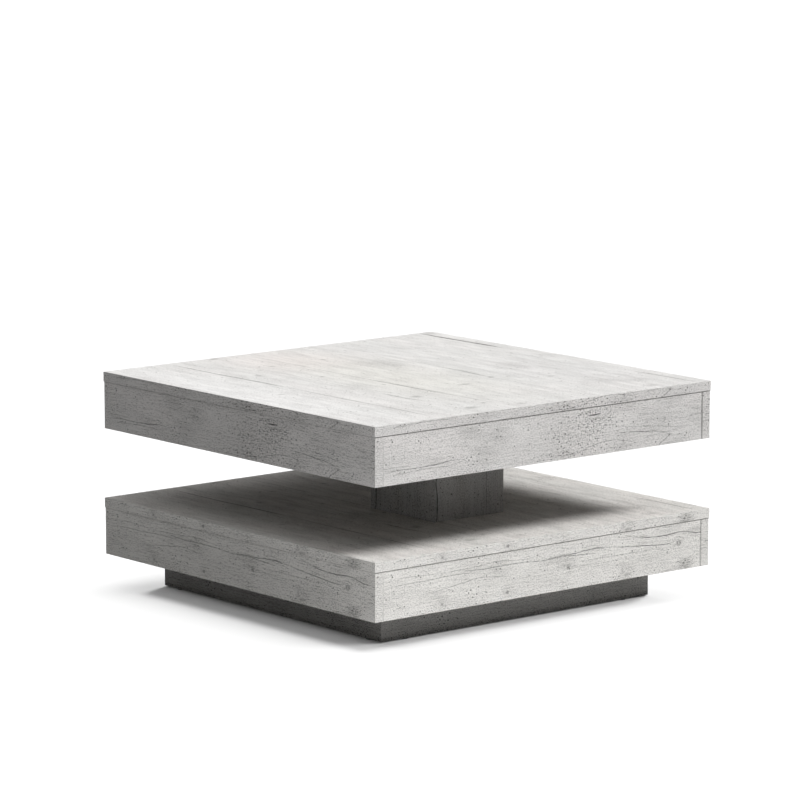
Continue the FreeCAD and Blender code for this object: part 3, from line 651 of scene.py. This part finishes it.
def drawn_layers(tree, spread, cracks, stains_and_shade, knots, joints, spots):
    """What is drawn on standing faces and on lying faces, as two lists of layers with their strengths."""
    wobble = stretched_noise(tree, spread, 16, 8, detail=2.0, low=0.0, high=1.0, slip=9.0)
    wobble = add(tree, "Math", {0: wobble, 1: -0.5}, operation="ADD")
    along, across = add(tree, "SeparateXYZ", {0: spread}).node.outputs[:2]
    across = add(tree, "Math", {0: wobble, 1: WOBBLE_CRACK, 2: across}, operation="MULTIPLY_ADD")
    bent = [add(tree, "Math", {0: wobble, 1: most}, operation="MULTIPLY") for most in WOBBLE_KNOT]
    bent = add(tree, "CombineXYZ", {0: bent[0], 1: bent[1]})
    bent = add(tree, "VectorMath", {0: spread, 1: bent}, operation="ADD")
    standing, lying = [], []
    for points, width, ink in cracks:
        base = max(0, CRACK_SPAN * (points[0][1] // CRACK_SPAN))
        standing.append((crack(tree, (along, across), points, width, base=base), ink))
    # Stains, and on the plinth the painted shade along its foot.
    for centre, size, ink in stains_and_shade:
        standing.append((soft_oval(tree, spread, centre, size), ink))
    for centre, size, ink in knots:
        standing.append((knot(tree, bent, centre, size), ink))
    for points, width, ink in joints:
        line = crack(tree, (along, across), points, width, soft=JOINT_SOFT, span=2 * HALF, base=-HALF)
        lying.append((line, ink))
    for centre, size, ink in spots:
        lying.append((soft_oval(tree, spread, centre, size, core=0.0), ink))
    return standing, lying


print("drawn layers wobble by", WOBBLE_CRACK, "to", WOBBLE_KNOT[0], "mm")

# %% [markdown]
# ## Printed decor boards
#
# The real surface is melamine resin: the printed paper is soaked in it and pressed hot on the chipboard. It
# is a matt plastic film, so the shader is a plain dielectric with a rough surface and a weak gloss, and the
# wood is only in its colour. Inked parts are a little rougher than the wash. The press plate also leaves
# pores a few tenths of a millimetre deep, which a bump adds.
#
# The base print's contrast is set by a gain, which stretches its layers about their mean. The mean lands on
# the ink that a face should have. Side faces get more gain than the front, because in shade the same print
# looks flat. Ink that would fall under nought is the bare wash.

# %% The decor material
INK, BACKING = "#3a3835", "#9c9a97"
GAIN_SIDE, GAIN_FRONT = 2.1, 1.3      # stretch of the base layers
LAYER_MEAN = 0.33                     # the mean of their sum
MEAN_INK = 0.2715, 0.205              # where that mean lands, on standing and lying faces
WORN = 0.5, 1.2                       # least and most that wear leaves of a drawn feature
END_INK = 0.045                       # the strips past an upright joint are a little darker
PORES = 0.0002                        # depth of a pore under full ink, in metres
FILM_ROUGH = 0.72, 0.82               # of the wash and of the ink
FILM_GLOSS = 0.22                     # a smooth film's mirror light is 0.5, and a matt skin keeps less


def decor(name, foot, pale, cracks=(), stains_and_shade=(), knots=(), joints=(), spots=(), holes=(), tints=(),
          middle=(0, 0, 0), upright=False, lying_gain=0.9, seam=0.52):
    """Melamine decor for one group of boards, with its own drawn features.

    Foot is the height of the group's lower edge, and middle its centre line, in millimetres. Pale are
    four tones of the wash: two that standing faces drift between, and two for lying faces. A darker
    lying pair is painted shade. Upright turns the grain of standing boards upright.
    """
    material, tree = new_material(name)
    places = board_places(tree, foot, middle)
    spread, lying = places["print"], places["lying"]
    if upright:
        spread = add(tree, "VectorRotate", {"Vector": spread, "Angle": radians(90)},
                     rotation_type="Z_AXIS")

    gain = add(tree, "MapRange", {"Value": places["front"], "To Min": GAIN_SIDE, "To Max": GAIN_FRONT})
    gain = add(tree, "MapRange", {"Value": lying, "To Min": gain, "To Max": lying_gain})
    less = add(tree, "MapRange", {"Value": lying, "To Min": -MEAN_INK[0], "To Max": -MEAN_INK[1]})
    less = add(tree, "Math", {0: gain, 1: LAYER_MEAN, 2: less}, operation="MULTIPLY_ADD")
    amount = join(tree, base_layers(tree, spread, lying, holes))
    amount = add(tree, "Math", {0: amount, 1: gain}, operation="MULTIPLY")
    amount = add(tree, "Math", {0: amount, 1: less}, operation="SUBTRACT", use_clamp=True)

    on_standing, on_lying = drawn_layers(tree, spread, cracks, stains_and_shade, knots, joints, spots)
    worn = stretched_noise(tree, spread, 7, 3.5, detail=2.0, low=0.3, high=0.6, slip=5.0)
    worn = add(tree, "MapRange", {"Value": worn, "To Min": WORN[0], "To Max": WORN[1]})
    bare = add(tree, "Math", {0: lying, 1: places["ends"]}, operation="MAXIMUM")
    standing = add(tree, "Math", {0: 1.0, 1: bare}, operation="SUBTRACT")
    for layers, there in ((on_standing, standing), (on_lying, lying)):
        if layers:
            drawn = add(tree, "Math", {0: join(tree, layers), 1: worn}, operation="MULTIPLY")
            amount = add(tree, "Math", {0: drawn, 1: there, 2: amount}, operation="MULTIPLY_ADD")
    # Joint ink: dust and painted shade.
    amount = join(tree, [(places["seams"], seam), (places["ends"], END_INK)], amount)
    amount = add(tree, "Math", {0: amount, 1: 1.0}, operation="MINIMUM")

    drift = stretched_noise(tree, spread, 200, 90, detail=1.0, low=0.35, high=0.65, slip=2.0)
    ground, flat = [add(tree, "Mix", {"Factor": drift, "A": linear(one), "B": linear(other)},
                        data_type="RGBA") for one, other in (pale[:2], pale[2:])]
    for centre, size, tint, share in tints:
        share = add(tree, "Math", {0: soft_oval(tree, spread, centre, size, core=0.0), 1: share},
                    operation="MULTIPLY")
        flat = add(tree, "Mix", {"Factor": share, "A": flat, "B": linear(tint)}, data_type="RGBA")
    colour = add(tree, "Mix", {"Factor": lying, "A": ground, "B": flat}, data_type="RGBA")
    colour = add(tree, "Mix", {"Factor": amount, "A": colour, "B": linear(INK)}, data_type="RGBA")
    colour = add(tree, "Mix", {"Factor": places["hidden"], "A": colour, "B": linear(BACKING)},
                 data_type="RGBA")
    pores = add(tree, "Bump", {"Height": amount, "Strength": 0.3, "Distance": PORES}, invert=True)
    rough = add(tree, "MapRange", {"Value": amount, "To Min": FILM_ROUGH[0], "To Max": FILM_ROUGH[1]})
    film = add(tree, "BsdfPrincipled", {"Base Color": colour, "Roughness": rough, "Normal": pores,
                                        "IOR": 1.5, "Specular IOR Level": FILM_GLOSS})
    add(tree, "OutputMaterial", {"Surface": film})
    print(name, "has", len(tree.nodes), "nodes")
    return material


print("decor ink is", INK, "over a pale wash, backing paper", BACKING)

# %% [markdown]
# ## Four cuts of the roll
#
# The upper box, the lower box, the plinth and the column are each cut from another part of the roll.
# The lower box and the plinth have a paler wash than the upper box. The column's wash is darker: that
# is painted shade, for the column stands deep under the upper box. The column's boards stand on end, so
# its grain is upright. A dark line along the plinth's foot is painted shade, where the floor's contact
# shadow falls.

# %% The four groups of boards
UPPER_FOOT, LOWER_FOOT, COLUMN_FOOT = 292, 59, 163.5   # heights of their lower edges, in millimetres
COLUMN_MIDDLE = (0, -90, 0)                            # the column stands in front of the middle
# Two tones of wash for standing faces, then two for lying faces. On the boxes the lying pair is darker:
# painted shade, which holds the lit top and shelf down under the main lamp.
PALE_UPPER = ("#f3f0ee", "#efedeb", "#dedcda", "#dad9d7")
PALE_LOWER = ("#fcfaf6", "#faf8f4", "#dedad6", "#d8d6d2")
# The column's wash is darker than the boxes': painted shade, for it stands deep under the upper box.
SHADED_COLUMN_WASH = ("#d8d6d4", "#d3d3d3", "#d8d6d4", "#d3d3d3")

upper_decor = decor("melamine_decor_upper_box", UPPER_FOOT, PALE_UPPER, UPPER_CRACKS, UPPER_STAINS,
                    joints=PLANK_JOINTS, spots=PLANK_STAINS, holes=UPPER_HOLES, tints=TOP_TINTS)
lower_decor = decor("melamine_decor_lower_box", LOWER_FOOT, PALE_LOWER, LOWER_CRACKS, LOWER_STAINS,
                    LOWER_KNOTS, PLANK_JOINTS, PLANK_STAINS, lying_gain=1.4, seam=0.38)
# A dark line along the plinth's foot is painted shade, where the floor's contact shadow falls.
plinth_decor = decor("melamine_decor_plinth", 0, PALE_LOWER, stains_and_shade=PLINTH_FOOT_SHADE)
column_decor = decor("melamine_decor_column", COLUMN_FOOT, SHADED_COLUMN_WASH, COLUMN_CRACKS,
                     middle=COLUMN_MIDDLE, upright=True)
print("decor materials: 4")

# %% [markdown]
# ## Boards that nobody sees
#
# The mounting board, the column's cap and the rail in the plinth are cut from the same faced chipboard, but
# their sawn edges stay raw. Raw chipboard shows its chips: tan flakes of wood, 1 to 4 mm long, in glue. A
# cell pattern gives each flake its own tone. The normal tells a sawn edge from a pressed face.

# %% Faced chipboard with sawn edges
FLAKES = (0.28, 0.4, 0.7)   # flakes per millimetre along each axis


def sawn_chipboard(name, face):
    """Pale faced chipboard. Face is the axis, X, Y or Z, across the board; the other sides are sawn."""
    material, tree = new_material(name)
    place = millimetres(tree)
    across = add(tree, "SeparateXYZ", {0: add(tree, "TexCoord", out="Normal")}, out=face)
    pressed = beyond(tree, across, HALF_WAY)
    grain = stretched_noise(tree, place, 90, 2.6, detail=3.0, low=0.35, high=0.7)
    face_colour = add(tree, "Mix", {"Factor": grain, "A": linear("#dedcd7"), "B": linear("#bdbab4")},
                      data_type="RGBA")
    place = add(tree, "VectorMath", {0: place, 1: FLAKES}, operation="MULTIPLY")
    chips = add(tree, "TexVoronoi", {"Vector": place, "Scale": 1.0}, out="Color")
    tone = add(tree, "SeparateColor", {0: chips}, out="Red")
    edge_colour = add(tree, "Mix", {"Factor": tone, "A": linear("#c9a877"), "B": linear("#8f6d45")},
                      data_type="RGBA")
    colour = add(tree, "Mix", {"Factor": pressed, "A": edge_colour, "B": face_colour}, data_type="RGBA")
    rough = add(tree, "MapRange", {"Value": pressed, "To Min": 0.85, "To Max": 0.6})
    dents = add(tree, "Bump", {"Height": tone, "Strength": 0.4, "Distance": 0.0002})
    film = add(tree, "BsdfPrincipled", {"Base Color": colour, "Roughness": rough, "Normal": dents,
                                        "IOR": 1.5})
    add(tree, "OutputMaterial", {"Surface": film})
    return material


flat_chipboard = sawn_chipboard("faced_chipboard_lying", "Z")
rail_chipboard = sawn_chipboard("faced_chipboard_rail", "Y")
print("chipboard flakes: about 3.5 x 2.5 x 1.5 mm")

# %% [markdown]
# ## Beech dowels
#
# Beech is an even, pinkish-tan wood, so plain that its short dark ray flecks are all there is to see. Dowels
# are turned and pressed, and stay bare. Flecks are 0.5 mm wide, drawn 1 mm wide so that they show.

# %% Beech
beech, tree = new_material("turned_beech")
place = millimetres(tree)
flecks = stretched_noise(tree, place, 3.0, 1.0, detail=1.0, low=0.52, high=0.68)
drift = stretched_noise(tree, place, 25, 12, detail=2.0, low=0.3, high=0.7, slip=4.0)
tan = add(tree, "Mix", {"Factor": drift, "A": linear("#d0a874"), "B": linear("#bd925d")}, data_type="RGBA")
tan = add(tree, "Mix", {"Factor": flecks, "A": tan, "B": linear("#8f6840")}, data_type="RGBA")
rough = add(tree, "MapRange", {"Value": flecks, "To Min": 0.55, "To Max": 0.7})
dents = add(tree, "Bump", {"Height": flecks, "Strength": 0.3, "Distance": 0.0001})
wood = add(tree, "BsdfPrincipled", {"Base Color": tan, "Roughness": rough, "IOR": 1.5, "Normal": dents})
add(tree, "OutputMaterial", {"Surface": wood})
print("beech flecks: 3 x 1 mm")

# %% [markdown]
# ## Zinc and steel fittings
#
# Four metals, told apart by their skins. Cam locks are die-cast zinc: dull grey, with the faint orange peel
# of the mould. Screws and bolts are steel with bright zinc plating, whose thin passive film drifts from
# bluish to straw. The turntable's plates and the brackets are pressed from galvanised sheet, where crystals
# of zinc, the spangles, are some millimetres across and each mirrors a little differently. Only the balls
# are polished, because they have to roll, and a film of grease makes their shine uneven.
#
# All are plain metal shaders with no index of refraction to set: the colour is the mirror's own tint, and
# the roughness map tells the rest.


# %% One shader for the four metals
def fitting_metal(name, bright, dull, pattern, smooth, coarse, depth):
    """Metal whose tint and roughness follow a pattern of its own, with dents of some depth, in metres."""
    material, tree = new_material(name)
    place = millimetres(tree)
    skin = pattern(tree, place)
    tint = add(tree, "Mix", {"Factor": skin, "A": linear(bright), "B": linear(dull)}, data_type="RGBA")
    rough = add(tree, "MapRange", {"Value": skin, "To Min": smooth, "To Max": coarse})
    peel = stretched_noise(tree, place, 0.8, 0.8, detail=1.0, low=0.2, high=0.8)
    dents = add(tree, "Bump", {"Height": peel, "Strength": 0.3, "Distance": depth})
    metal = add(tree, "BsdfPrincipled", {"Base Color": tint, "Metallic": 1.0, "Roughness": rough,
                                         "Normal": dents})
    add(tree, "OutputMaterial", {"Surface": metal})
    return material


def spangles(tree, place):
    """Zinc crystals 6 mm across, each with its own tone."""
    cells = add(tree, "TexVoronoi", {"Vector": place, "Scale": 1 / 6}, out="Color")
    return add(tree, "SeparateColor", {0: cells}, out="Red")


def mould_clouds(tree, place):
    """Soft grey clouds 4 mm across."""
    return stretched_noise(tree, place, 4, 4, detail=3.0, low=0.3, high=0.7)


def passive_film(tree, place):
    """Slow drift of the plating's film, 9 mm from bluish to straw."""
    return stretched_noise(tree, place, 9, 9, detail=1.0, low=0.35, high=0.65)


def grease(tree, place):
    """Smears of grease 1.5 mm wide on the balls."""
    return stretched_noise(tree, place, 1.5, 1.5, detail=2.0, low=0.4, high=0.7)


# For each slot: material, bright and dull tint, pattern, roughness where bright and dull, depth of dents.
METALS = {
    "zinc_casting": ("die_cast_zinc", "#b0b0ae", "#92928f", mould_clouds, 0.4, 0.55, 0.00005),
    "zinc_plated_steel": ("bright_zinc_plated_steel", "#c3c8ce", "#c6c2b2", passive_film, 0.22, 0.34,
                          0.00001),
    "galvanised_sheet": ("galvanised_steel_sheet", "#bcc1c5", "#a3a9ae", spangles, 0.32, 0.48, 0.00001),
    "bearing_steel": ("polished_bearing_steel", "#cfcfd1", "#c2c2c4", grease, 0.08, 0.2, 0.000002),
}
metals = {slot: fitting_metal(*skin) for slot, skin in METALS.items()}
print("metals:", sorted(metals))

# %% [markdown]
# ## Glides
#
# The feet are black polyethylene discs, moulded with a matt skin and nailed on. The plastic is waxy, so its
# highlight is broad, and dust greys it in specks.

# %% Moulded polyethylene
glide, tree = new_material("moulded_polyethylene")
dust = stretched_noise(tree, millimetres(tree), 1.2, 1.2, detail=2.0, low=0.55, high=0.75)
black = add(tree, "Mix", {"Factor": dust, "A": linear("#262627"), "B": linear("#4a4947")},
            data_type="RGBA")
rough = add(tree, "MapRange", {"Value": dust, "To Min": 0.5, "To Max": 0.75})
dents = add(tree, "Bump", {"Height": dust, "Strength": 0.2, "Distance": 0.00005})
skin = add(tree, "BsdfPrincipled", {"Base Color": black, "Roughness": rough, "IOR": 1.54,
                                    "Normal": dents})
add(tree, "OutputMaterial", {"Surface": skin})
print("glides: black polyethylene")

# %% [markdown]
# ## Every piece gets its finish
#
# The CAD file names a slot for each piece, and the slot picks the material. Decor boards are told apart by
# the group they belong to, because each group has its own cut of the print.

# %% Put the materials on the pieces
GROUPS = {"top_": upper_decor, "shelf_": lower_decor, "plinth_": plinth_decor, "column_": column_decor}
FINISHES = {**metals, "beech": beech, "glide_plastic": glide, "inner_board": flat_chipboard}
for name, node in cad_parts.items():
    for slot in node.material_slots:
        label = slot.material.name
        if label.startswith("decor_board"):
            slot.material = next(GROUPS[start] for start in GROUPS if name.startswith(start))
        else:
            slot.material = next(FINISHES[start] for start in FINISHES if label.startswith(start))
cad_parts["plinth_rail"].material_slots[0].material = rail_chipboard
used = {slot.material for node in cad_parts.values() for slot in node.material_slots}
print("finished:", len(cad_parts), "parts in", len(used), "materials")
